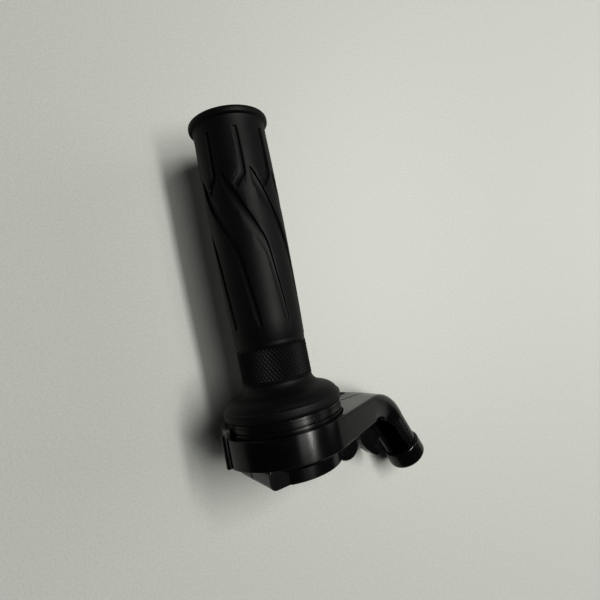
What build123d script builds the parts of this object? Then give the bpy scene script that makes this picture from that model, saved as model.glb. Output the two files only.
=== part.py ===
from build123d import *
from math import cos, radians, sin, sqrt
import os

# Motorcycle twist grip: a rubber sleeve on a throttle tube whose cable drum turns inside a
# two-piece housing. The housing clamps a 22.2 mm bar and carries the two cables away through
# a curved trunk.
#
# Everything is drawn square to the housing's seam and rolled about the bar at the end, which
# is how the part lies at rest. While drawing, +Y is the bar axis towards the open end of the
# grip, +X points down the trunk, and +Z stands square to the seam on the front case's side.
# The origin is on the bar axis, at the inner end of the clamp.

REST_ROLL = 17.0            # roll of the seam from level, degrees
TWIST = 75.0                # travel of the grip from closed to open, degrees

# handlebar and its fits
BAR_R = 11.1
TUBE_RUN = 0.08             # tube on bar
CLAMP_GAP = 0.05            # clamp bore on bar, screws slack
RUN = 0.4                   # moving pieces past fixed ones
SLIP = 0.05                 # pieces that only seat in one another

# along the bar
CLAMP_END = 8.3             # clamp stops and the drum housing starts
FLOOR = 2.0                 # housing floor under the drum
CASE_TOP = 20.3             # mouth of the housing
GUARD_TOP = 24.3            # raised rear wall round the collar
COLLAR_TOP = 24.2           # top of the drum's collar
DUST_RING = 1.2             # thickness
GRIP_LENGTH = 129.8
END_SKIN = 0.8              # rubber over the tube's open end
GRIP_MOUTH_PLAY = 0.6       # hole in that skin, round the bar

# rubber sleeve
GRIP_R = 16.0
GRIP_SWELL = 0.3            # barrel at the middle of the palm
GRIP_HEEL_R = 15.6          # body just before the knurled band
KNURL_R = 15.35
KNURL_LENGTH = 15.5
KNURL_LAND = 2.2            # plain strip above the knurled band
KNURL_STEP = 0.3
LIP_R = 17.7
LIP_WIDTH = 3.4
LIP_ROUND = 1.2
LIP_NECK = 4.4              # flare from the body up to the lip
LIP_FLARE = 0.4             # swell of that flare
FLANGE_R = 25.9
FLANGE_HEIGHT = 8.6         # flange face above its underside
FLANGE_THROAT = 4.8         # hollow between knurled band and flange face
FLANGE_FLAT_R = 20.6
THROAT_OUT = 2.6            # middle of the hollow, out from the knurled band
THROAT_RISE = 0.9           # and above the flange face
FACE_DISH = 0.1
SHOULDER_IN = 1.6           # flange's shoulder, in from its edge
SHOULDER_DROP = 2.6
RIM_R = 24.9                # foot of the flange's bead
RIM_HEIGHT = 2.2
RIM_TUCK = 0.25             # how the bead turns under
RIM_TUCK_HEIGHT = 0.8

# throttle tube and drum
TUBE_WALL = 1.8
SPLINES = 10
SPLINE_H = 0.45
SPLINE_W = 1.6
DRUM_R = 25.4
DRUM_LIFT = 0.9             # drum above the housing floor
GROOVE_W = 2.8
GROOVE_DEPTH = 3.2
RETURN_GROOVE_Y = 13.4
PULL_GROOVE_Y = 17.4
COLLAR_GROOVE_Y = 22.2
COLLAR_GROOVE = 0.9
POCKET_IN_R = 15.2
POCKET_OUT_R = 20.4
POCKET_FLOOR = 13.2
POCKETS = 6
POCKET_WEB = 14.0           # degrees of wall between pockets
NIPPLE_R = 3.1
NIPPLE_SEAT_R = 21.6
PULL_NIPPLE_ANGLE = 205.0
RETURN_NIPPLE_ANGLE = 155.0
LUG_IN_R = 19.0
LUG_OUT_R = 22.0
LUG_DROP = 1.5
LUG_SPAN = 24.0             # degrees
LUG_ANGLE = -50.0           # closed throttle
LUG_SLACK = 1.5             # degrees
SLOT_GAP = 0.4

# housing
WALL = 2.0
MOUTH_WALL = 2.2
SEAM_GAP = 0.6
TIP_X = 54.0                # where the drum's flanks run into the trunk
TIP_R = 8.0
TRUNK_IN_X = 38.5
TRUNK_OUT_X = 40.5
TRUNK_IN_R = 10.0
TRUNK_OUT_R = 26.4
TRUNK_TURN = 66.0
TRUNK_RUN = 17.5            # straight length after the bend, on the inside
FLANK_ROUND = 0.8           # corners of the section beside the drum
BEND_ROUND = 2.0            # at the start of the bend
END_ROUND = 7.4             # at the trunk's mouth
LEAST_ROUND = 0.3
BEND_EASE = 1.4             # how fast the bend narrows to the mouth's width
BEND_STEPS = 4
WINDOW_R = 15.5
WINDOW_CENTRE = (42.5, -8.5)
HUB_R = 16.2
HUB_TOP_R = 24.4
CLAMP_R = 21.5
CLAMP_LEFT = 124.0          # sector of full-width clamp, degrees from +X
RIM_LIP_R = 1.5
RIM_LIP_TOP = 22.0
RAMP_START = 30.0
RAMP_END = 43.0

# trunk mouth
SPIGOT_R = 8.0
SPIGOT_BORE_R = 6.6
SPIGOT_LENGTH = 8.4
COLLAR_R = 9.5
COLLAR_LIP = 1.2
COLLAR_ROUND = 1.1          # edge against the case
COLLAR_END_ROUND = 2.4
CABLE_HOLE_R = 2.45
CABLE_PITCH = 5.9
GROMMET_LENGTH = 8.0

# lead hook under the trunk
HOOK_LOW = -7.0
HOOK_HIGH = -1.5
HOOK_ROUND = 0.4
HOOK_POINTS = (               # its side, from the trunk down, round the tip and back
    (39.6, 9.0), (39.2, -2.0), (40.1, -4.8), (42.0, -7.6), (44.8, -10.5), (47.4, -12.4), (49.9, -11.9),
    (49.4, -10.1), (46.9, -7.5), (49.2, -7.1), (49.0, -5.2), (52.6, -4.0), (50.5, 2.0), (45.0, 9.0),
)

# screws, all M4
SCREW_R = 2.0
SCREW_HOLE_GAP = 0.25
HEAD_R = 3.6
HEAD_H = 2.6
HEAD_ROUND = 1.0
CROSS_W = 0.9
CROSS_L = 4.2
CROSS_DEPTH = 1.4
WASHER_R = 4.2
WASHER_T = 0.8
INSERT_R = 2.85
INSERT_LENGTH = 7.0
HEAD_POCKET_R = 4.6
HEAD_POCKET_WALL = 1.2
RIGHT_SCREW = (23.0, 2.4)
RIGHT_BOSS_R = 6.6
RIGHT_BOSS_TOP = 10.5
RIGHT_BOSS_ROUND = 2.0
INSERT_PLAY = 1.0             # hole beyond the insert
LEFT_SCREW = (-16.2, 4.1)
LEFT_BOSS_START = -20.4
LEFT_BOSS_END = -8.0
LEFT_BOSS_ROUND = 2.6
LEFT_BOSS_TOP = 17.3
SCREW_SEAT = -12.0
SEAT_PAD = 1.6              # floor under a screw head
SCREW_LENGTH = 20.0
TRUNK_SCREW = (40.5, 14.3)
TRUNK_POST_R = 3.7
SCREW_START = 1.0           # insert starts above the seam
SCREWS = (RIGHT_SCREW, LEFT_SCREW, TRUNK_SCREW)

# thrust washer
THRUST_R = 16.5
THRUST_IN_R = 12.2
THRUST_T = 0.6

# cable stop across the root of the trunk
STOP_X = 33.0
STOP_T = 1.6
STOP_HALF_W = 14.4
STOP_BITE = 0.5             # how far it sits in its groove
SEAT_R = 2.6
SEAT_FLANGE_R = 3.7
SEAT_BORE_R = 1.1
SEAT_LENGTH = 4.8
SEAT_FLANGE = 1.4
SEAT_OFFSET = 7.4

# values worked out from the sizes above
SCREW_HOLE_R = SCREW_R + SCREW_HOLE_GAP
TUBE_BORE_R = BAR_R + TUBE_RUN
CLAMP_BORE_R = BAR_R + CLAMP_GAP
TUBE_R = TUBE_BORE_R + TUBE_WALL
SLEEVE_BORE_R = TUBE_R + SPLINE_H + SLIP
FLOOR_TOP = CLAMP_END + FLOOR
DRUM_FOOT = FLOOR_TOP + DRUM_LIFT
CAVITY_R = DRUM_R + RUN
CASE_R = CAVITY_R + MOUTH_WALL
FLANGE_FOOT = COLLAR_TOP + DUST_RING
GRIP_END = FLANGE_FOOT + GRIP_LENGTH
TUBE_END = GRIP_END - END_SKIN
FLANK_SLOPE = (CASE_R - TIP_R) / TIP_X
HALF_GAP = SEAM_GAP / 2
REACH = 200.0               # longer than anything cut
OVERCUT = 1.0               # how far a cut runs past the face it opens

OUT = (cos(radians(TRUNK_TURN)), -sin(radians(TRUNK_TURN)))
ACROSS = (-OUT[1], OUT[0])
INNER_CENTRE = (TRUNK_IN_X, CLAMP_END - TRUNK_IN_R)
OUTER_CENTRE = (TRUNK_OUT_X, CASE_TOP - TRUNK_OUT_R)


def along(point, direction, distance):
    return (point[0] + direction[0] * distance, point[1] + direction[1] * distance)


def level(point, direction):
    return point[0] * direction[0] + point[1] * direction[1]


SHOULDER = level(INNER_CENTRE, OUT) + TRUNK_RUN
INNER_SIDE = level(INNER_CENTRE, ACROSS) + TRUNK_IN_R
OUTER_SIDE = level(OUTER_CENTRE, ACROSS) + TRUNK_OUT_R
MOUTH = along(along((0, 0), OUT, SHOULDER), ACROSS, (INNER_SIDE + OUTER_SIDE) / 2)
MOUTH_PLANE = Plane(origin=(*MOUTH, 0), x_dir=(0, 0, 1), z_dir=(*OUT, 0))


def bar_prism(sketch, low, high):
    """A flat X-Z outline drawn out along the bar."""
    plane = Plane(origin=(0, high, 0), x_dir=(1, 0, 0), z_dir=(0, -1, 0))
    return extrude(plane * sketch, high - low)


def bar_disc(radius, low, high):
    return bar_prism(Circle(radius), low, high)


def bar_ring(outer, inner, low, high):
    return bar_prism(Circle(outer) - Circle(inner), low, high)


def seam_prism(sketch, low, high):
    """A flat X-Y outline drawn out square to the seam."""
    return Pos(0, 0, low) * extrude(sketch, high - low)


def seam_post(place, radius, low, high):
    return seam_prism(Pos(*place) * Circle(radius), low, high)


def turned(points):
    """A solid of revolution about the bar, from (radius, y) points."""
    return revolve(make_face(Polyline(*points, close=True)), Axis.Y)


def ring_sector(inner, outer, start, span):
    inside = CenterArc((0, 0), inner, start, span)
    outside = CenterArc((0, 0), outer, start, span)
    return make_face([inside, outside, Line(inside @ 0, outside @ 0), Line(inside @ 1, outside @ 1)])


# ---- pieces that turn with the hand ----

def grip_outline():
    """Half section of the rubber sleeve, x as radius."""
    lip_foot = GRIP_END - LIP_WIDTH
    body_top = lip_foot - LIP_NECK
    knurl_foot = FLANGE_FOOT + FLANGE_HEIGHT + FLANGE_THROAT
    knurl_top = knurl_foot + KNURL_LENGTH
    body_foot = knurl_top + KNURL_LAND
    middle = (body_top + body_foot) / 2
    mouth_r = BAR_R + GRIP_MOUTH_PLAY
    flange_face = FLANGE_FOOT + FLANGE_HEIGHT
    throat = (KNURL_R + THROAT_OUT, flange_face + THROAT_RISE)
    face_edge = (FLANGE_FLAT_R, flange_face - FACE_DISH)
    shoulder = (FLANGE_R - SHOULDER_IN, flange_face - SHOULDER_DROP)
    bead = (FLANGE_R, FLANGE_FOOT + RIM_HEIGHT)
    tuck = (FLANGE_R - RIM_TUCK, FLANGE_FOOT + RIM_TUCK_HEIGHT)
    return [
        Line((SLEEVE_BORE_R, FLANGE_FOOT), (SLEEVE_BORE_R, TUBE_END)),
        Line((SLEEVE_BORE_R, TUBE_END), (mouth_r, TUBE_END)),
        Line((mouth_r, TUBE_END), (mouth_r, GRIP_END)),
        Line((mouth_r, GRIP_END), (LIP_R - LIP_ROUND, GRIP_END)),
        CenterArc((LIP_R - LIP_ROUND, GRIP_END - LIP_ROUND), LIP_ROUND, 0, 90),
        Line((LIP_R, GRIP_END - LIP_ROUND), (LIP_R, lip_foot + LIP_ROUND)),
        Spline((LIP_R, lip_foot + LIP_ROUND), (GRIP_R + LIP_FLARE, lip_foot - LIP_FLARE), (GRIP_R, body_top),
               tangents=[(0, -1), (0, -1)]),
        ThreePointArc((GRIP_R, body_top), (GRIP_R + GRIP_SWELL, middle), (GRIP_HEEL_R, body_foot)),
        Line((GRIP_HEEL_R, body_foot), (KNURL_R, body_foot - KNURL_STEP)),
        Line((KNURL_R, body_foot - KNURL_STEP), (KNURL_R, knurl_foot)),
        Spline((KNURL_R, knurl_foot), throat, face_edge, tangents=[(0, -1), (1, 0)]),
        Spline(face_edge, shoulder, bead, tangents=[(1, 0), (0, -1)]),
        ThreePointArc(bead, tuck, (RIM_R, FLANGE_FOOT)),
        Line((RIM_R, FLANGE_FOOT), (SLEEVE_BORE_R, FLANGE_FOOT)),
    ]


def rubber_grip():
    return revolve(make_face(grip_outline()), Axis.Y)


def drum_groove(y, width, depth):
    """A round-bottomed groove round the drum."""
    half = width / 2
    bottom = DRUM_R - depth + half
    straight = bar_ring(DRUM_R + OVERCUT, bottom, y - half, y + half)
    return straight + revolve(Pos(bottom, y) * Circle(half), Axis.Y)


def drum_pockets():
    span = 360 / POCKETS - POCKET_WEB
    pocket = bar_prism(ring_sector(POCKET_IN_R, POCKET_OUT_R, 0, span), POCKET_FLOOR, COLLAR_TOP)
    return [Rot(0, step * 360 / POCKETS, 0) * pocket for step in range(POCKETS)]


def nipple_pockets():
    """Two barrel seats at the ends of the cable grooves."""
    seats = []
    for angle, y in ((PULL_NIPPLE_ANGLE, PULL_GROOVE_Y), (RETURN_NIPPLE_ANGLE, RETURN_GROOVE_Y)):
        centre = (NIPPLE_SEAT_R * cos(radians(angle)), NIPPLE_SEAT_R * sin(radians(angle)))
        seats.append(bar_prism(Pos(*centre) * Circle(NIPPLE_R), y - NIPPLE_R, y + NIPPLE_R))
    return seats


def tube_splines():
    foot = FLANGE_FOOT + FLANGE_HEIGHT
    length = TUBE_END - foot - FLANGE_HEIGHT
    rib = Pos(TUBE_R, foot + length / 2, 0) * Box(2 * SPLINE_H, length, SPLINE_W)
    return [Rot(0, step * 360 / SPLINES, 0) * rib for step in range(SPLINES)]


def stop_lug():
    start = LUG_ANGLE - LUG_SPAN / 2
    return bar_prism(ring_sector(LUG_IN_R, LUG_OUT_R, start, LUG_SPAN), DRUM_FOOT - LUG_DROP, DRUM_FOOT)


def throttle_tube():
    tube = bar_disc(TUBE_R, DRUM_FOOT, TUBE_END) + bar_disc(DRUM_R, DRUM_FOOT, COLLAR_TOP)
    tube += tube_splines() + [stop_lug()]
    tube -= [
        drum_groove(PULL_GROOVE_Y, GROOVE_W, GROOVE_DEPTH),
        drum_groove(RETURN_GROOVE_Y, GROOVE_W, GROOVE_DEPTH),
        drum_groove(COLLAR_GROOVE_Y, COLLAR_GROOVE, COLLAR_GROOVE),
        bar_disc(TUBE_BORE_R, DRUM_FOOT - OVERCUT, TUBE_END + OVERCUT),
    ]
    return tube - drum_pockets() - nipple_pockets()


def dust_ring():
    return bar_ring(DRUM_R - RUN, SLEEVE_BORE_R, COLLAR_TOP, FLANGE_FOOT)


# ---- housing ----

def housing_outline(inset=0):
    """Drum circle with straight flanks running towards the trunk, shrunk by inset."""
    drum = Circle(CASE_R - inset)
    tip = Pos(TIP_X, 0) * Circle(TIP_R - inset)
    return make_hull((drum + tip).edges())


def flank_half_width(x):
    """Half width of the housing between its flanks."""
    return (CASE_R - x * FLANK_SLOPE) / sqrt(1 - FLANK_SLOPE ** 2)


def bend_ends(share, inset=0):
    """Points on the inner and outer side of the bend, at a share of its turn."""
    turn = radians(TRUNK_TURN * share)
    reach_in = TRUNK_IN_R + inset
    reach_out = TRUNK_OUT_R - inset
    inner = (INNER_CENTRE[0] + reach_in * sin(turn), INNER_CENTRE[1] + reach_in * cos(turn))
    outer = (OUTER_CENTRE[0] + reach_out * sin(turn), OUTER_CENTRE[1] + reach_out * cos(turn))
    return inner, outer


def trunk_section(inner, outer, half_width, corner, inset):
    """Rounded rectangle across the trunk between an inner and an outer point."""
    across = Vector(outer[0] - inner[0], outer[1] - inner[1], 0)
    middle = ((inner[0] + outer[0]) / 2, (inner[1] + outer[1]) / 2, 0)
    plane = Plane(origin=middle, x_dir=across, z_dir=across.cross(Vector(0, 0, 1)))
    radius = max(corner - inset, LEAST_ROUND)
    return plane * RectangleRounded(across.length, 2 * (half_width - inset), radius)


def trunk_form(inset=0):
    """Housing beside the drum, the bend and the straight end, shrunk by inset."""
    touch = CASE_R * FLANK_SLOPE
    flank = trunk_section((touch, CLAMP_END + inset), (touch, CASE_TOP - inset),
                          flank_half_width(touch), FLANK_ROUND, inset)
    first = flank_half_width((TRUNK_IN_X + TRUNK_OUT_X) / 2)
    bend = []
    for step in range(BEND_STEPS + 1):
        share = step / BEND_STEPS
        half_width = TIP_R + (first - TIP_R) * (1 - share) ** BEND_EASE
        corner = BEND_ROUND + (END_ROUND - BEND_ROUND) * share
        bend.append(trunk_section(*bend_ends(share, inset), half_width, corner, inset))
    inner = along(along((0, 0), OUT, SHOULDER - inset), ACROSS, INNER_SIDE + inset)
    outer = along(along((0, 0), OUT, SHOULDER - inset), ACROSS, OUTER_SIDE - inset)
    end = trunk_section(inner, outer, TIP_R, END_ROUND, inset)
    return loft([flank, bend[0]], ruled=True) + loft(bend) + loft([bend[-1], end], ruled=True)


def housing_form(inset=0):
    return bar_disc(CASE_R - inset, CLAMP_END + inset, CASE_TOP - inset) + trunk_form(inset)


def clamp_hub():
    hub = turned([(0, 0), (HUB_R, 0), (HUB_TOP_R, CLAMP_END), (0, CLAMP_END)])
    wings = bar_prism(ring_sector(CLAMP_BORE_R, CLAMP_R, -CLAMP_LEFT, 2 * CLAMP_LEFT), 0, CLAMP_END)
    return hub + wings


def housing_hollow():
    drum_room = bar_disc(CAVITY_R, FLOOR_TOP, CASE_TOP + OVERCUT)
    bar = bar_disc(CLAMP_BORE_R, -OVERCUT, FLOOR_TOP + OVERCUT)
    mouth = MOUTH_PLANE * (Pos(0, 0, -2 * WALL) * extrude(Circle(SPIGOT_BORE_R), 2 * WALL + SPIGOT_LENGTH))
    post = seam_post(TRUNK_SCREW, TRUNK_POST_R, -CASE_R, CASE_R)
    trunk_room = trunk_form(WALL) - post - trunk_pad()
    return drum_room + trunk_room + bar + mouth + stop_slot() + cable_stop_groove()


def trunk_pad():
    """Thick boss round the head of the trunk's screw."""
    radius = HEAD_POCKET_R + HEAD_POCKET_WALL
    return seam_post(TRUNK_SCREW, radius, SCREW_SEAT - WASHER_T, SCREW_SEAT + SEAT_PAD)


def stop_slot():
    start = LUG_ANGLE - TWIST - LUG_SPAN / 2 - LUG_SLACK
    span = TWIST + LUG_SPAN + 2 * LUG_SLACK
    sector = ring_sector(LUG_IN_R - SLOT_GAP, LUG_OUT_R + SLOT_GAP, start, span)
    return bar_prism(sector, DRUM_FOOT - LUG_DROP - SLOT_GAP, FLOOR_TOP)


def cable_stop_box(grow):
    length = STOP_T + 2 * grow
    height = CASE_TOP - FLOOR_TOP - WALL + 2 * (STOP_BITE + grow)
    centre = (STOP_X + STOP_T / 2, (CASE_TOP - WALL + FLOOR_TOP) / 2, 0)
    return Pos(*centre) * Box(length, height, 2 * (STOP_HALF_W + grow))


def cable_stop_groove():
    return cable_stop_box(SLIP)


def seam_half(side):
    """All space on one side of the seam, beyond half the gap."""
    return Pos(0, 0, side * (HALF_GAP + REACH / 2)) * Box(2 * REACH, 2 * REACH, REACH)


def window():
    """Open underside of the front trunk, where the cables are laid in."""
    edge = CenterArc(WINDOW_CENTRE, WINDOW_R, 90 - TRUNK_TURN, TRUNK_TURN)
    low = along(along(WINDOW_CENTRE, ACROSS, WINDOW_R), OUT, 2 * TRUNK_RUN)
    corner = (WINDOW_CENTRE[0], low[1])
    return seam_prism(make_face([
        edge,
        Line(edge @ 0, low),
        Line(low, corner),
        Line(corner, edge @ 1),
    ]), 0, CASE_R)


def insert_seat(place):
    return seam_post(place, INSERT_R + SLIP, HALF_GAP - OVERCUT, SCREW_START + INSERT_LENGTH + INSERT_PLAY)


def right_boss(low, high):
    boss = seam_post(RIGHT_SCREW, RIGHT_BOSS_R, low, high)
    return fillet(boss.faces().sort_by(Axis.Z)[-1].edges(), RIGHT_BOSS_ROUND)


def left_boss(low, high):
    """Block at the end of the clamp, round on the side away from the trunk."""
    length = LEFT_BOSS_END - LEFT_BOSS_START
    outline = Pos(LEFT_BOSS_START + length / 2, CLAMP_END / 2) * Rectangle(length, CLAMP_END)
    outline = fillet(outline.vertices().group_by(Axis.X)[0], LEFT_BOSS_ROUND)
    return seam_prism(outline, low, high)


def front_case():
    solid = housing_form() + clamp_hub() + right_boss(0, RIGHT_BOSS_TOP) + left_boss(0, LEFT_BOSS_TOP)
    solid = (solid - housing_hollow()) & seam_half(1)
    solid -= [window()]
    return solid - [insert_seat(place) for place in SCREWS]


def guard_wall():
    """Raised rim of the rear case, ramping down on to the trunk."""
    rim = bar_prism(housing_outline() - housing_outline(MOUTH_WALL), CASE_TOP, GUARD_TOP)
    side = Polyline((-CASE_R, CASE_TOP), (-CASE_R, GUARD_TOP), (RAMP_START, GUARD_TOP),
                    (RAMP_END, CASE_TOP), close=True)
    return rim & seam_prism(make_face(side), -CASE_R, 0)


def rim_lip():
    """Rounded bead beside the seam, on the side away from the trunk."""
    place = (-CASE_R, -HALF_GAP - RIM_LIP_R)
    return bar_prism(Pos(*place) * Circle(RIM_LIP_R), CLAMP_END, RIM_LIP_TOP)


def lead_hook():
    """Open finger under the trunk for a switch lead."""
    finger = FilletPolyline(*HOOK_POINTS, radius=HOOK_ROUND)
    outline = make_face([finger, Line(finger @ 1, finger @ 0)])
    return seam_prism(outline, HOOK_LOW, HOOK_HIGH) - trunk_form(WALL)


def spigot():
    return MOUTH_PLANE * extrude(Circle(SPIGOT_R) - Circle(SPIGOT_BORE_R), SPIGOT_LENGTH)


def screw_passage(place):
    hole = seam_post(place, SCREW_HOLE_R, SCREW_SEAT - OVERCUT, HALF_GAP)
    pocket = seam_post(place, HEAD_POCKET_R, -CASE_R, SCREW_SEAT)
    return hole + pocket


def rear_case():
    solid = housing_form() + clamp_hub()
    solid += seam_post(RIGHT_SCREW, RIGHT_BOSS_R, SCREW_SEAT, 0)
    solid += left_boss(SCREW_SEAT, 0)
    solid += trunk_pad()
    solid = (solid - housing_hollow()) & seam_half(-1)
    solid += guard_wall() & seam_half(-1)
    solid += rim_lip()
    solid += lead_hook()
    solid += spigot()
    return solid - [screw_passage(place) for place in SCREWS]


def thrust_washer():
    return bar_ring(THRUST_R, THRUST_IN_R, FLOOR_TOP, FLOOR_TOP + THRUST_T)


def trunk_collar():
    """Ring pushed over the trunk's mouth; its lip covers the spigot's end."""
    length = SPIGOT_LENGTH + COLLAR_LIP
    ring = extrude(Circle(COLLAR_R), length)
    ring = fillet(ring.edges().filter_by(GeomType.CIRCLE).sort_by(Axis.Z)[-1], COLLAR_END_ROUND)
    ring = fillet(ring.edges().filter_by(GeomType.CIRCLE).sort_by(Axis.Z)[0], COLLAR_ROUND)
    ring -= extrude(Circle(SPIGOT_R + SLIP), SPIGOT_LENGTH)
    ring -= extrude(Circle(SPIGOT_BORE_R), length)
    return MOUTH_PLANE * ring


def grommet_holes():
    return [Pos(0, side * CABLE_PITCH / 2) * Circle(CABLE_HOLE_R) for side in (-1, 1)]


def cable_grommet():
    plug = Circle(SPIGOT_BORE_R - SLIP) - grommet_holes()
    return MOUTH_PLANE * (Pos(0, 0, SPIGOT_LENGTH - GROMMET_LENGTH) * extrude(plug, GROMMET_LENGTH))


def seat_places():
    """Centres of the two cable seats, as y and z."""
    middle = (FLOOR_TOP + CASE_TOP - WALL) / 2
    return [(middle, SEAT_OFFSET), (middle, -SEAT_OFFSET)]


def trunk_rod(radius, y, z, start, length):
    return Pos(start + length / 2, y, z) * Rot(0, 90, 0) * Cylinder(radius, length)


def cable_stop():
    plate = cable_stop_box(0)
    hole_r = SEAT_R + SLIP
    length = STOP_T + 2 * OVERCUT
    return plate - [trunk_rod(hole_r, y, z, STOP_X - OVERCUT, length) for y, z in seat_places()]


def cable_seats():
    """Two flanged bushes that the outer cables end in."""
    seats = []
    for y, z in seat_places():
        body = trunk_rod(SEAT_R, y, z, STOP_X - SEAT_FLANGE, SEAT_LENGTH)
        flange = trunk_rod(SEAT_FLANGE_R, y, z, STOP_X - SEAT_FLANGE, SEAT_FLANGE)
        bore = trunk_rod(SEAT_BORE_R, y, z, STOP_X - SEAT_LENGTH, 2 * SEAT_LENGTH)
        seats.append(body + flange - bore)
    return seats


def pan_screw(place):
    """Cross-head screw whose head faces away from the seam."""
    head_top = SCREW_SEAT - WASHER_T
    head = Pos(0, 0, head_top - HEAD_H / 2) * Cylinder(HEAD_R, HEAD_H)
    head = fillet(head.edges().filter_by(GeomType.CIRCLE).sort_by(Axis.Z)[0], HEAD_ROUND)
    shank = seam_post((0, 0), SCREW_R, head_top, head_top + SCREW_LENGTH)
    slot = Pos(0, 0, head_top - HEAD_H + CROSS_DEPTH / 2) * Box(CROSS_L, CROSS_W, CROSS_DEPTH)
    return Pos(*place) * (head + shank - [slot, Rot(0, 0, 90) * slot])


def case_screws():
    return [pan_screw(place) for place in SCREWS]


def screw_washers():
    washer = seam_prism(Circle(WASHER_R) - Circle(SCREW_HOLE_R), SCREW_SEAT - WASHER_T, SCREW_SEAT)
    return [Pos(*place) * washer for place in SCREWS]


def threaded_inserts():
    sleeve = Circle(INSERT_R) - Circle(SCREW_R + SLIP)
    insert = seam_prism(sleeve, SCREW_START, SCREW_START + INSERT_LENGTH)
    return [Pos(*place) * insert for place in SCREWS]


PARTS = {
    "rubber_grip": rubber_grip,
    "throttle_tube": throttle_tube,
    "dust_ring": dust_ring,
    "front_case": front_case,
    "rear_case": rear_case,
    "thrust_washer": thrust_washer,
    "trunk_collar": trunk_collar,
    "cable_grommet": cable_grommet,
    "cable_stop": cable_stop,
    "cable_seats": cable_seats,
    "case_screws": case_screws,
    "screw_washers": screw_washers,
    "threaded_inserts": threaded_inserts,
}

os.makedirs("parts", exist_ok=True)
for name, make in PARTS.items():
    made = make()
    solids = made if isinstance(made, list) else made.solids()
    laid = [Rot(0, REST_ROLL, 0) * solid for solid in solids]
    export_step(Compound(children=laid) if len(laid) > 1 else laid[0], f"parts/{name}.step")
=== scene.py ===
import bpy
from math import atan2, cos, degrees, pi, radians, sin
from mathutils import Matrix, Vector


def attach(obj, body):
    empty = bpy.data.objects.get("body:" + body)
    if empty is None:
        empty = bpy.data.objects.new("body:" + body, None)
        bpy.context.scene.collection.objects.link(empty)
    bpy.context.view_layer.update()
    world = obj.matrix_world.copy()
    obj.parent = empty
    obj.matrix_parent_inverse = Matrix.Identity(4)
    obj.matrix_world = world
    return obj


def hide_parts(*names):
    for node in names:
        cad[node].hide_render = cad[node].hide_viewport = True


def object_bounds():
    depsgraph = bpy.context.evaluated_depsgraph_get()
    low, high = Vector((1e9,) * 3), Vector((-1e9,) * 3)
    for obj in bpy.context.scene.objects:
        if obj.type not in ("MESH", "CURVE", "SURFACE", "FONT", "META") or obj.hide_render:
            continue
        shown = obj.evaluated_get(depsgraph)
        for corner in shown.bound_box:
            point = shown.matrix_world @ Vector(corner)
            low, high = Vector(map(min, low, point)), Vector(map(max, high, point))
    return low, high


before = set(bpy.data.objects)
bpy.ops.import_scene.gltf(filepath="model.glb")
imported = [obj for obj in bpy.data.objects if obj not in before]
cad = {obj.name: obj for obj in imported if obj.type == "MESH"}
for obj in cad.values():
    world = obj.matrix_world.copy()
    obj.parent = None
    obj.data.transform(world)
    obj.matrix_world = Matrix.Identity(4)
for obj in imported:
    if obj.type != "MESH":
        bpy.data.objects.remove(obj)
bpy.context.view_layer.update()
mm = 0.001
print("frame loaded,", len(cad), "nodes")

# ---- camera, lights and room ----

cameraSetup = {
    "place": (-32.9, 65.3, 187.0),      # mm
    "right": (0.9487, -0.1957, 0.2483),
    "up": (0.1817, 0.9802, 0.0785),
    "back": (-0.2587, -0.0293, 0.9655),
    "lens": 25.51,
    "sensor": 36.0,
}


def addCamera(setup):
    bpy.ops.object.camera_add()
    camera = bpy.context.object
    camera.name = "tableCamera"
    camera.data.lens = setup["lens"]
    camera.data.sensor_width = setup["sensor"]
    camera.data.clip_start = 0.01
    turn = Matrix((setup["right"], setup["up"], setup["back"])).transposed()
    camera.matrix_world = Matrix.Translation(Vector(setup["place"]) * mm) @ turn.to_4x4()
    bpy.context.scene.camera = camera


lightSetup = {
    # place in metres, width and length of the lamp, power
    "tube": {"place": (0.78, 0.25, 1.6), "width": 0.16, "length": 1.5, "watts": 20.0},
    "soffit": {"place": (0.62, 0.2, 1.7), "width": 1.0, "length": 1.6, "watts": 15.6},
    "window": {"place": (1.5, 0.1, 0.62), "width": 0.5, "length": 0.9, "watts": 3.6},
    "side": {"place": (-1.0, 0.3, 0.35), "width": 0.25, "length": 0.6, "watts": 0.3},
}


roomSetup = {
    "tint": (0.93, 0.97, 0.95, 1),
    "lit": 0.03,                        # strength of the room on the pieces
    "seen": 0.5,                        # strength of the wall behind the table
    "gamma": 0.77,
}


def addLights(setup):
    for name, light in setup.items():
        bpy.ops.object.light_add(type="AREA", location=light["place"])
        lamp = bpy.context.object
        lamp.name = name + "Light"
        lamp.data.shape = "RECTANGLE"
        lamp.data.size = light["width"]
        lamp.data.size_y = light["length"]
        lamp.data.energy = light["watts"]
        lamp.data.color = (1.0, 0.995, 0.965)
        back = (lamp.location - Vector((0.0, 0.06, 0.0))).normalized()
        side = Vector((0, 1, 0)).cross(back).normalized()
        turn = Matrix((side, back.cross(side), back)).transposed()
        lamp.rotation_euler = turn.to_euler()
    # a dim room round the table, with a paler wall behind it
    world = bpy.data.worlds.new("room")
    world.use_nodes = True
    tree = world.node_tree
    tree.nodes["Background"].inputs["Color"].default_value = roomSetup["tint"]
    seen = tree.nodes.new("ShaderNodeLightPath")
    brightness = tree.nodes.new("ShaderNodeMapRange")
    brightness.inputs["To Min"].default_value = roomSetup["lit"]
    brightness.inputs["To Max"].default_value = roomSetup["seen"]
    tree.links.new(seen.outputs["Is Camera Ray"], brightness.inputs["Value"])
    tree.links.new(brightness.outputs["Result"], tree.nodes["Background"].inputs["Strength"])
    bpy.context.scene.world = world
    bpy.context.scene.view_settings.view_transform = "Standard"
    bpy.context.scene.view_settings.gamma = roomSetup["gamma"]


addCamera(cameraSetup)
addLights(lightSetup)
print("camera and lights placed")

# ---- shader groups ----


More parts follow.
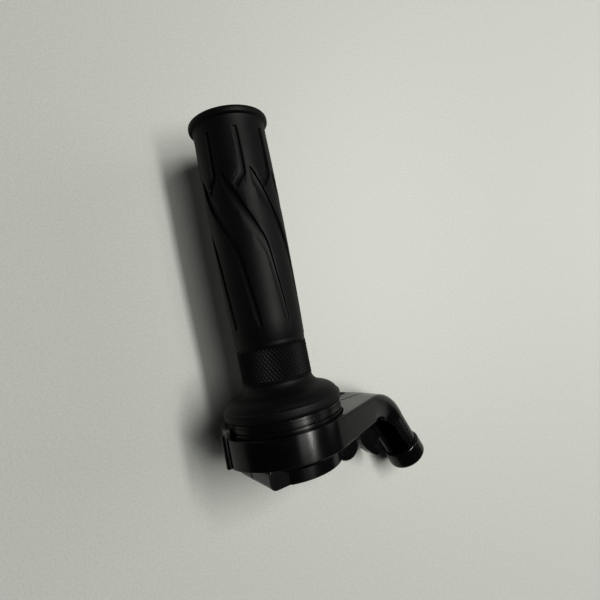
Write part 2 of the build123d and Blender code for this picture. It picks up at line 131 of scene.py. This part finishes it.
def newGroup(name, inputs, outputs):
    group = bpy.data.node_groups.new(name, "ShaderNodeTree")
    for label, value in inputs.items():
        socket = group.interface.new_socket(label, in_out="INPUT", socket_type="NodeSocketFloat")
        socket.default_value = value
    for label in outputs:
        group.interface.new_socket(label, in_out="OUTPUT", socket_type="NodeSocketFloat")
    start = group.nodes.new("NodeGroupInput")
    end = group.nodes.new("NodeGroupOutput")
    return group, start, end


def addNode(tree, kind, **settings):
    node = tree.nodes.new("ShaderNode" + kind)
    for label, value in settings.items():
        setattr(node, label, value)
    return node


def mathNode(tree, operation, first, second=None, clamp=False):
    node = addNode(tree, "Math", operation=operation, use_clamp=clamp)
    for socket, value in zip(node.inputs, (first, second)):
        if hasattr(value, "is_output"):
            tree.links.new(value, socket)
        elif value is not None:
            socket.default_value = value
    return node.outputs[0]


def objectNoise(tree, scale, detail=4.0, roughness=0.55):
    coordinates = addNode(tree, "TexCoord")
    noise = addNode(tree, "TexNoise")
    tree.links.new(coordinates.outputs["Object"], noise.inputs["Vector"])
    if hasattr(scale, "is_output"):
        tree.links.new(scale, noise.inputs["Scale"])
    else:
        noise.inputs["Scale"].default_value = scale
    noise.inputs["Detail"].default_value = detail
    noise.inputs["Roughness"].default_value = roughness
    return noise.outputs["Fac"]


def edgeWearGroup():
    # a broken line of wear along corners
    group, start, end = newGroup("edgeWear", {"Amount": 0.6, "Breakup": 700.0}, ["Mask"])
    corner = addNode(group, "Bevel", samples=6)
    corner.inputs["Radius"].default_value = 0.35 * mm
    flat = addNode(group, "NewGeometry")
    dot = addNode(group, "VectorMath", operation="DOT_PRODUCT")
    group.links.new(corner.outputs[0], dot.inputs[0])
    group.links.new(flat.outputs["Normal"], dot.inputs[1])
    bend = mathNode(group, "SUBTRACT", 1.0, dot.outputs["Value"])
    line = mathNode(group, "MULTIPLY", bend, 9.0, True)
    speckle = objectNoise(group, start.outputs["Breakup"], 5.0, 0.65)
    chance = mathNode(group, "MULTIPLY", mathNode(group, "SUBTRACT", speckle, 0.42), 4.0, True)
    worn = mathNode(group, "MULTIPLY", line, chance)
    mask = mathNode(group, "MULTIPLY", worn, start.outputs["Amount"], True)
    group.links.new(mask, end.inputs["Mask"])
    return group


def grainGroup():
    # fine moulded texture, with a slow swell under it
    group, start, end = newGroup("mouldGrain", {"Scale": 2500.0, "Swell": 60.0}, ["Height", "Patch"])
    fine = objectNoise(group, start.outputs["Scale"], 2.0)
    slow = objectNoise(group, start.outputs["Swell"], 3.0)
    group.links.new(fine, end.inputs["Height"])
    group.links.new(slow, end.inputs["Patch"])
    return group


def scuffGroup():
    # thin scratches in two directions, and dust specks
    group, start, end = newGroup("scuffs", {"Scale": 90.0, "Amount": 0.5}, ["Scratch", "Dust"])
    coordinates = addNode(group, "TexCoord")
    total = None
    for turn, stretch in ((0.6, 14.0), (-0.9, 18.0)):
        mapping = addNode(group, "Mapping")
        mapping.inputs["Rotation"].default_value = (turn, turn * 0.7, turn)
        mapping.inputs["Scale"].default_value = (1.0, stretch, stretch)
        group.links.new(coordinates.outputs["Object"], mapping.inputs["Vector"])
        noise = addNode(group, "TexNoise")
        noise.inputs["Detail"].default_value = 3.0
        group.links.new(mapping.outputs[0], noise.inputs["Vector"])
        group.links.new(start.outputs["Scale"], noise.inputs["Scale"])
        over = mathNode(group, "SUBTRACT", noise.outputs["Fac"], 0.68)
        line = mathNode(group, "MULTIPLY", over, 9.0, True)
        total = line if total is None else mathNode(group, "MAXIMUM", total, line)
    scratch = mathNode(group, "MULTIPLY", total, start.outputs["Amount"], True)
    group.links.new(scratch, end.inputs["Scratch"])
    speck = addNode(group, "TexVoronoi")
    speck.inputs["Scale"].default_value = 380.0
    group.links.new(coordinates.outputs["Object"], speck.inputs["Vector"])
    near = mathNode(group, "SUBTRACT", 0.16, speck.outputs["Distance"])
    patch = mathNode(group, "SUBTRACT", objectNoise(group, 55.0), 0.52)
    dust = mathNode(group, "MULTIPLY", mathNode(group, "MULTIPLY", near, 9.0, True),
                    mathNode(group, "MULTIPLY", patch, 7.0, True))
    group.links.new(dust, end.inputs["Dust"])
    return group


shared = {"wear": edgeWearGroup(), "grain": grainGroup(), "scuffs": scuffGroup()}


def place(tree, name, **values):
    node = tree.nodes.new("ShaderNodeGroup")
    node.node_tree = shared[name]
    for label, value in values.items():
        node.inputs[label].default_value = value
    return node


def mixColour(tree, amount, first, second):
    node = addNode(tree, "Mix", data_type="RGBA")
    tree.links.new(amount, node.inputs["Factor"])
    for socket, value in ((node.inputs[6], first), (node.inputs[7], second)):
        if hasattr(value, "is_output"):
            tree.links.new(value, socket)
        else:
            socket.default_value = (*value, 1)
    return node.outputs[2]


def mouldedMaterial(name, look):
    # plastic or rubber straight from the mould, then handled
    material = bpy.data.materials.new(name)
    material.use_nodes = True
    tree = material.node_tree
    shader = tree.nodes["Principled BSDF"]
    grain = place(tree, "grain", Scale=look["grain"], Swell=look["swell"])
    wear = place(tree, "wear", Amount=look["wear"], Breakup=look["breakup"])
    scuffs = place(tree, "scuffs", Scale=look["scuffScale"], Amount=look["scuffs"])
    colour = mixColour(tree, grain.outputs["Patch"], look["colour"], look["shade"])
    colour = mixColour(tree, wear.outputs["Mask"], colour, look["worn"])
    dusty = mathNode(tree, "MULTIPLY", scuffs.outputs["Dust"], look["dust"], True)
    colour = mixColour(tree, dusty, colour, (0.32, 0.31, 0.29))
    pale = mathNode(tree, "MULTIPLY", scuffs.outputs["Scratch"], 0.5)
    colour = mixColour(tree, pale, colour, look["worn"])
    tree.links.new(colour, shader.inputs["Base Color"])
    patchy = mathNode(tree, "MULTIPLY", grain.outputs["Patch"], look["roughSpread"])
    rough = mathNode(tree, "ADD", patchy, look["rough"])
    rough = mathNode(tree, "ADD", rough, mathNode(tree, "MULTIPLY", scuffs.outputs["Scratch"], 0.12), True)
    tree.links.new(rough, shader.inputs["Roughness"])
    bump = addNode(tree, "Bump")
    bump.inputs["Strength"].default_value = look["bump"]
    bump.inputs["Distance"].default_value = 0.05 * mm
    tree.links.new(grain.outputs["Height"], bump.inputs["Height"])
    tree.links.new(bump.outputs[0], shader.inputs["Normal"])
    shader.inputs["Specular IOR Level"].default_value = look["gloss"]
    return material


finishes = {
    "gripRubber": mouldedMaterial("gripRubber", {
        "colour": (0.0022, 0.0026, 0.0026), "shade": (0.0045, 0.005, 0.0048), "worn": (0.022, 0.023, 0.022),
        "grain": 3000.0, "swell": 45.0, "rough": 0.42, "roughSpread": 0.16, "bump": 0.5, "gloss": 0.26,
        "wear": 0.5, "breakup": 500.0, "scuffScale": 70.0, "scuffs": 0.3, "dust": 0.06}),
    "softRubber": mouldedMaterial("softRubber", {
        "colour": (0.003, 0.003, 0.003), "shade": (0.006, 0.006, 0.006), "worn": (0.02, 0.02, 0.02),
        "grain": 2600.0, "swell": 60.0, "rough": 0.5, "roughSpread": 0.2, "bump": 0.4, "gloss": 0.45,
        "wear": 0.3, "breakup": 500.0, "scuffScale": 80.0, "scuffs": 0.2, "dust": 0.3}),
    "casePlastic": mouldedMaterial("casePlastic", {
        "colour": (0.002, 0.0021, 0.0023), "shade": (0.004, 0.0041, 0.0043), "worn": (0.14, 0.14, 0.135),
        "grain": 4200.0, "swell": 90.0, "rough": 0.13, "roughSpread": 0.14, "bump": 0.14, "gloss": 0.5,
        "wear": 0.5, "breakup": 600.0, "scuffScale": 120.0, "scuffs": 0.4, "dust": 0.12}),
    "tubeNylon": mouldedMaterial("tubeNylon", {
        "colour": (0.003, 0.003, 0.0032), "shade": (0.006, 0.006, 0.0062), "worn": (0.05, 0.05, 0.05),
        "grain": 3600.0, "swell": 80.0, "rough": 0.2, "roughSpread": 0.12, "bump": 0.2, "gloss": 0.35,
        "wear": 0.3, "breakup": 600.0, "scuffScale": 100.0, "scuffs": 0.3, "dust": 0.3}),
    "paleNylon": mouldedMaterial("paleNylon", {
        "colour": (0.72, 0.71, 0.66), "shade": (0.62, 0.61, 0.56), "worn": (0.5, 0.49, 0.45),
        "grain": 3200.0, "swell": 80.0, "rough": 0.4, "roughSpread": 0.15, "bump": 0.2, "gloss": 0.5,
        "wear": 0.2, "breakup": 500.0, "scuffScale": 100.0, "scuffs": 0.3, "dust": 0.1}),
}


def metalMaterial(name, look):
    # machined or plated metal, dulled in patches
    material = bpy.data.materials.new(name)
    material.use_nodes = True
    tree = material.node_tree
    shader = tree.nodes["Principled BSDF"]
    grain = place(tree, "grain", Scale=look["grain"], Swell=look["swell"])
    scuffs = place(tree, "scuffs", Scale=look["scuffScale"], Amount=look["scuffs"])
    colour = mixColour(tree, grain.outputs["Patch"], look["colour"], look["dull"])
    tree.links.new(colour, shader.inputs["Base Color"])
    rough = mathNode(tree, "ADD", mathNode(tree, "MULTIPLY", grain.outputs["Patch"], look["roughSpread"]),
                     look["rough"])
    rough = mathNode(tree, "ADD", rough, mathNode(tree, "MULTIPLY", scuffs.outputs["Scratch"], 0.2), True)
    tree.links.new(rough, shader.inputs["Roughness"])
    bump = addNode(tree, "Bump")
    bump.inputs["Strength"].default_value = look["bump"]
    bump.inputs["Distance"].default_value = 0.02 * mm
    tree.links.new(grain.outputs["Height"], bump.inputs["Height"])
    tree.links.new(bump.outputs[0], shader.inputs["Normal"])
    shader.inputs["Metallic"].default_value = 1.0
    return material


finishes["platedSteel"] = metalMaterial("platedSteel", {
    "colour": (0.62, 0.61, 0.58), "dull": (0.44, 0.42, 0.38), "grain": 2500.0, "swell": 120.0,
    "rough": 0.22, "roughSpread": 0.25, "bump": 0.25, "scuffScale": 150.0, "scuffs": 0.6})
finishes["brass"] = metalMaterial("brass", {
    "colour": (0.78, 0.57, 0.26), "dull": (0.52, 0.37, 0.17), "grain": 2500.0, "swell": 120.0,
    "rough": 0.25, "roughSpread": 0.2, "bump": 0.25, "scuffScale": 150.0, "scuffs": 0.4})
print("materials made")

# ---- modelling helpers ----


def clearSelection():
    if bpy.context.object and bpy.context.object.mode != "OBJECT":
        bpy.ops.object.mode_set(mode="OBJECT")
    bpy.ops.object.select_all(action="DESELECT")


def choose(piece):
    clearSelection()
    piece.select_set(True)
    bpy.context.view_layer.objects.active = piece


def settle(piece):
    # place, turn and size go into the mesh
    choose(piece)
    bpy.ops.object.transform_apply(location=True, rotation=True, scale=True)


def applyModifier(piece, kind, **settings):
    choose(piece)
    modifier = piece.modifiers.new(kind.lower(), kind)
    for label, value in settings.items():
        setattr(modifier, label, value)
    bpy.ops.object.modifier_apply(modifier=modifier.name)


def pickVertices(piece, wanted):
    # leaves edit mode on, with only the wanted vertices selected
    choose(piece)
    bpy.ops.object.mode_set(mode="EDIT")
    bpy.ops.mesh.select_mode(type="VERT")
    bpy.ops.mesh.select_all(action="DESELECT")
    bpy.ops.object.mode_set(mode="OBJECT")
    for vertex in piece.data.vertices:
        vertex.select = wanted(vertex.co)
    bpy.ops.object.mode_set(mode="EDIT")


def turnedPiece(name, stations, sides):
    # a closed ring round the bar; stations are (along the bar, radius) in mm
    clearSelection()
    alongBar, radius = stations[0]
    bpy.ops.mesh.primitive_circle_add(vertices=sides, radius=radius * mm, location=(0, alongBar * mm, 0),
                                      rotation=(pi / 2, 0, 0))
    piece = bpy.context.object
    piece.name = name
    settle(piece)
    bpy.ops.object.mode_set(mode="EDIT")
    bpy.ops.mesh.select_all(action="SELECT")
    for nextAlong, nextRadius in stations[1:]:
        step = (0, (nextAlong - alongBar) * mm, 0)
        bpy.ops.mesh.extrude_region_move(TRANSFORM_OT_translate={"value": step})
        grow = nextRadius / radius
        bpy.ops.transform.resize(value=(grow, 1, grow), center_override=(0, nextAlong * mm, 0))
        alongBar, radius = nextAlong, nextRadius
    bpy.ops.mesh.select_mode(type="EDGE")
    bpy.ops.mesh.select_all(action="DESELECT")
    bpy.ops.mesh.select_non_manifold()
    bpy.ops.mesh.bridge_edge_loops()
    bpy.ops.mesh.select_all(action="SELECT")
    bpy.ops.mesh.normals_make_consistent(inside=False)
    bpy.ops.object.mode_set(mode="OBJECT")
    return piece


# ---- rubber grip ----

gripSize = {
    "sides": 120,
    "repeats": 8,                    # recesses round the grip
    "firstTurn": -15.0,              # degrees from the top
    "recessFloor": 15.15,
    "recessTop": 17.6,
    "recessEdge": 0.22,
    "knurlFoot": 39.2,
    "knurlTop": 53.8,
    "knurlRows": 12,
    "knurlOut": 15.52,
    "knurlIn": 0.972,                # share of the radius left in the grooves
    "bodyTop": 147.4,
    "bodyFoot": 56.6,
    "bodyRings": 10,
    "bodyRadius": 15.6,              # at the foot
    "bodyTaper": 0.4,                # what the top has more
    "swell": 0.5,
    "flangeFace": 25.4,
    "flangeFlat": 20.0,
    "bore": 13.48,
    "boreRing": 60.0,
    "boreTop": 154.4,
    "mouth": 11.7,
}
lipStations = (
    (155.2, 11.7), (155.2, 13.6), (155.2, 16.2), (155.14, 16.75), (154.85, 17.3), (154.4, 17.6),
    (153.9, 17.7), (153.1, 17.7), (152.6, 17.62), (152.2, 17.4), (152.0, 17.05), (151.9, 16.6),
    (151.75, 16.32), (151.4, 16.2), (150.8, 16.15), (149.6, 16.08),
)
heelStations = ((56.3, 15.42), (56.0, 15.33), (54.5, 15.35), (54.3, 15.1), (54.0, 15.1))
flareStations = (
    (39.0, 15.1), (38.7, 15.1), (38.5, 15.36), (37.9, 15.45), (37.1, 15.75), (36.3, 16.3), (35.6, 17.0),
    (35.0, 17.9), (34.55, 18.9), (34.2, 19.9), (33.85, 20.9), (33.4, 21.9), (32.8, 22.85), (32.1, 23.65),
    (31.3, 24.35), (30.55, 24.85), (29.9, 25.18), (29.72, 25.32), (29.6, 25.6), (29.42, 25.8), (29.1, 25.88),
    (28.4, 25.9), (27.4, 25.9), (26.6, 25.86), (26.15, 25.66), (25.7, 25.3), (25.4, 24.9),
)
longRecess = (                       # (along the bar, left edge, right edge), edges in degrees
    (129.0, -19.3, -17.7), (127.2, -19.6, -14.2), (122.6, -19.5, -6.6), (118.0, -13.0, 0.4),
    (110.0, -0.8, 12.2), (102.0, 11.2, 24.6), (98.0, 17.0, 30.2), (95.4, 21.0, 32.2), (92.6, 24.6, 33.6),
    (88.5, 27.4, 35.3), (80.0, 30.3, 38.4), (68.0, 34.9, 43.0), (64.9, 36.3, 43.8), (63.6, 37.6, 43.2),
    (63.1, 39.2, 41.8),
)
shortRecess = (
    (146.9, 12.4, 15.6), (146.3, 10.8, 17.4), (144.5, 10.2, 18.0), (136.0, 9.6, 18.2), (129.6, 9.0, 18.1),
    (127.9, 8.0, 18.0), (126.6, 4.6, 17.8), (125.4, 0.8, 15.8), (124.2, -2.6, 12.0), (123.4, -3.9, 9.2),
    (122.6, -3.2, 6.9), (121.6, -1.4, 4.4), (120.9, 0.4, 2.6),
)


def crown(alongBar):
    # radius of the barrel, fullest under the palm
    size = gripSize
    share = (alongBar - size["bodyFoot"]) / (size["bodyTop"] - size["bodyFoot"])
    return size["bodyRadius"] + size["bodyTaper"] * share + 4 * size["swell"] * share * (1 - share)


def gripStations():
    size = gripSize
    stations = list(lipStations)
    bodyStep = (size["bodyTop"] - size["bodyFoot"]) / size["bodyRings"]
    for ring in range(size["bodyRings"] + 1):
        alongBar = size["bodyTop"] - ring * bodyStep
        stations.append((alongBar, crown(alongBar)))
    stations += heelStations
    knurlStep = (size["knurlTop"] - size["knurlFoot"]) / size["knurlRows"]
    for row in range(size["knurlRows"] + 1):
        stations.append((size["knurlTop"] - row * knurlStep, size["knurlOut"]))
    stations += flareStations
    stations += [(size["flangeFace"], size["flangeFlat"]), (size["flangeFace"], size["bore"])]
    stations += [(size["boreRing"], size["bore"]), (size["boreTop"], size["bore"])]
    stations += [(size["boreTop"], size["mouth"])]
    return stations


def easedStations(stations, between=2):
    # rounds the corners of a recess's outline
    eased = []
    last = len(stations) - 1
    for index in range(last):
        before, start = stations[max(index - 1, 0)], stations[index]
        end, after = stations[index + 1], stations[min(index + 2, last)]
        for step in range(between):
            t = step / between
            point = [start[0] + (end[0] - start[0]) * t]
            for side in (1, 2):
                a, b, c, d = before[side], start[side], end[side], after[side]
                bend = 2 * a - 5 * b + 4 * c - d + t * (3 * (b - c) + d - a)
                point.append(b + 0.5 * t * (c - a + t * bend))
            eased.append(tuple(point))
    return eased + [stations[last]]


def recessTool(name, stations):
    # cut out flat, with degrees across, then wrapped round the bar
    clearSelection()
    alongBar, left, right = stations[0]
    width = right - left
    bpy.ops.mesh.primitive_plane_add(size=width * mm)
    tool = bpy.context.object
    tool.name = name
    pickVertices(tool, lambda place: place.y > 0)
    bpy.ops.mesh.delete(type="VERT")
    bpy.ops.mesh.select_all(action="SELECT")
    middle = (left + right) / 2
    lift = gripSize["recessFloor"]
    bpy.ops.transform.translate(value=(middle * mm, (alongBar + width / 2) * mm, lift * mm))
    for nextAlong, left, right in stations[1:]:
        nextMiddle = (left + right) / 2
        step = ((nextMiddle - middle) * mm, (nextAlong - alongBar) * mm, 0)
        bpy.ops.mesh.extrude_region_move(TRANSFORM_OT_translate={"value": step})
        bpy.ops.transform.resize(value=((right - left) / width, 1, 1),
                                 center_override=(nextMiddle * mm, nextAlong * mm, lift * mm))
        alongBar, middle, width = nextAlong, nextMiddle, right - left
    bpy.ops.mesh.select_all(action="SELECT")
    bpy.ops.mesh.extrude_region_move(
        TRANSFORM_OT_translate={"value": (0, 0, (gripSize["recessTop"] - lift) * mm)})
    bpy.ops.mesh.select_all(action="SELECT")
    bpy.ops.mesh.normals_make_consistent(inside=False)
    bpy.ops.object.mode_set(mode="OBJECT")
    for vertex in tool.data.vertices:
        turn = radians(vertex.co.x / mm + gripSize["firstTurn"])
        radius = vertex.co.z
        vertex.co = (radius * sin(turn), vertex.co.y, radius * cos(turn))
    return tool


def repeatRound(tool, count):
    tools = [tool]
    for index in range(1, count):
        choose(tool)
        bpy.ops.object.duplicate()
        copy = bpy.context.object
        bpy.ops.transform.rotate(value=2 * pi * index / count, orient_axis="Y", center_override=(0, 0, 0))
        settle(copy)
        tools.append(copy)
    return tools


def joinPieces(pieces):
    clearSelection()
    for piece in pieces:
        piece.select_set(True)
    bpy.context.view_layer.objects.active = pieces[0]
    bpy.ops.object.join()
    return bpy.context.object


def knurl(piece):
    # every second corner of the band is pressed in, and the grooves join them
    size = gripSize
    step = (size["knurlTop"] - size["knurlFoot"]) / size["knurlRows"]

    def pressed(place):
        alongBar = place.y / mm
        if abs(Vector((place.x, place.z)).length / mm - size["knurlOut"]) > 0.05:
            return False
        if not size["knurlFoot"] - 0.01 < alongBar < size["knurlTop"] + 0.01:
            return False
        row = round((alongBar - size["knurlFoot"]) / step)
        column = round(degrees(atan2(place.x, place.z)) * size["sides"] / 360)
        return (row + column) % 2 == 0

    pickVertices(piece, pressed)
    bpy.ops.transform.resize(value=(size["knurlIn"], 1, size["knurlIn"]), center_override=(0, 0, 0))
    bpy.ops.mesh.vert_connect()
    bpy.ops.object.mode_set(mode="OBJECT")


def makeGrip():
    grip = turnedPiece("rubberGrip", gripStations(), gripSize["sides"])
    tools = []
    for name, stations in (("longTool", longRecess), ("shortTool", shortRecess)):
        tools += repeatRound(recessTool(name, easedStations(stations)), gripSize["repeats"])
    tool = joinPieces(tools)
    applyModifier(grip, "BOOLEAN", operation="DIFFERENCE", solver="EXACT", object=tool)
    bpy.data.objects.remove(tool)
    applyModifier(grip, "BEVEL", width=gripSize["recessEdge"] * mm, segments=2, limit_method="ANGLE",
                  angle_limit=radians(50), use_clamp_overlap=False)
    knurl(grip)
    choose(grip)
    bpy.ops.object.shade_smooth_by_angle(angle=radians(32))
    grip.data.materials.append(finishes["gripRubber"])
    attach(grip, "twist")
    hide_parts("rubber_grip")


makeGrip()
print("grip made")

# ---- housing and fittings ----


def softenedCopy(nodeName, name, edge):
    # the moulded or turned piece with its sharp corners eased
    clearSelection()
    piece = cad[nodeName].copy()
    piece.data = cad[nodeName].data.copy()
    piece.parent = None
    for label in list(piece.keys()):
        del piece[label]
    bpy.context.scene.collection.objects.link(piece)
    piece.name = name
    piece.data.name = name
    piece.data.materials.clear()
    choose(piece)
    bpy.ops.object.mode_set(mode="EDIT")
    bpy.ops.mesh.select_all(action="SELECT")
    bpy.ops.mesh.remove_doubles(threshold=0.002 * mm)
    bpy.ops.mesh.dissolve_limited(angle_limit=radians(0.6))
    bpy.ops.object.mode_set(mode="OBJECT")
    applyModifier(piece, "BEVEL", width=edge * mm, segments=2, limit_method="ANGLE",
                  angle_limit=radians(35), use_clamp_overlap=False, miter_outer="MITER_ARC")
    choose(piece)
    bpy.ops.object.shade_smooth_by_angle(angle=radians(40))
    applyModifier(piece, "WEIGHTED_NORMAL", mode="FACE_AREA", weight=90, keep_sharp=True)
    return piece


fittings = {
    # node: (name, eased edge in mm)
    "front_case": ("frontCase", 0.3),
    "rear_case": ("rearCase", 0.16),
    "trunk_collar": ("trunkRing", 0.2),
}


def makeFittings():
    for node, (name, edge) in fittings.items():
        piece = softenedCopy(node, name, edge)
        piece.data.materials.append(finishes["casePlastic"])
        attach(piece, "housing")
        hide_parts(node)


makeFittings()
print("housing made")

carried = {
    "throttle_tube": "tubeNylon", "dust_ring": "tubeNylon", "thrust_washer": "paleNylon",
    "cable_grommet": "softRubber", "cable_stop": "platedSteel", "cable_seats": "paleNylon",
    "case_screws": "platedSteel", "screw_washers": "platedSteel", "threaded_inserts": "brass",
}
for name, node in cad.items():
    node.data.materials.clear()
    node.data.materials.append(finishes[carried.get(name, "casePlastic")])
    choose(node)
    bpy.ops.object.shade_smooth_by_angle(angle=radians(35))

# ---- table ----


tableSetup = {
    "size": 3.0,                        # metres
    "dark": (0.60, 0.615, 0.58),
    "pale": (0.67, 0.685, 0.65),
    "rough": 0.45,
    "roughSpread": 0.1,
}


def addTable():
    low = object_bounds()[0][2]
    bpy.ops.object.select_all(action="DESELECT")
    bpy.ops.mesh.primitive_plane_add(size=tableSetup["size"], location=(0, 0, low))
    table = bpy.context.object
    table.name = "tableTop"
    material = bpy.data.materials.new("tableLaminate")
    material.use_nodes = True
    tree = material.node_tree
    shader = tree.nodes["Principled BSDF"]
    grain = mathNode(tree, "SUBTRACT", objectNoise(tree, 900.0, 2.0), 0.3)
    speck = mathNode(tree, "MULTIPLY", grain, 2.0, True)
    colour = mixColour(tree, speck, tableSetup["dark"], tableSetup["pale"])
    tree.links.new(colour, shader.inputs["Base Color"])
    spread = mathNode(tree, "MULTIPLY", speck, tableSetup["roughSpread"])
    rough = mathNode(tree, "ADD", spread, tableSetup["rough"])
    tree.links.new(rough, shader.inputs["Roughness"])
    table.data.materials.append(material)


addTable()
print("table set")
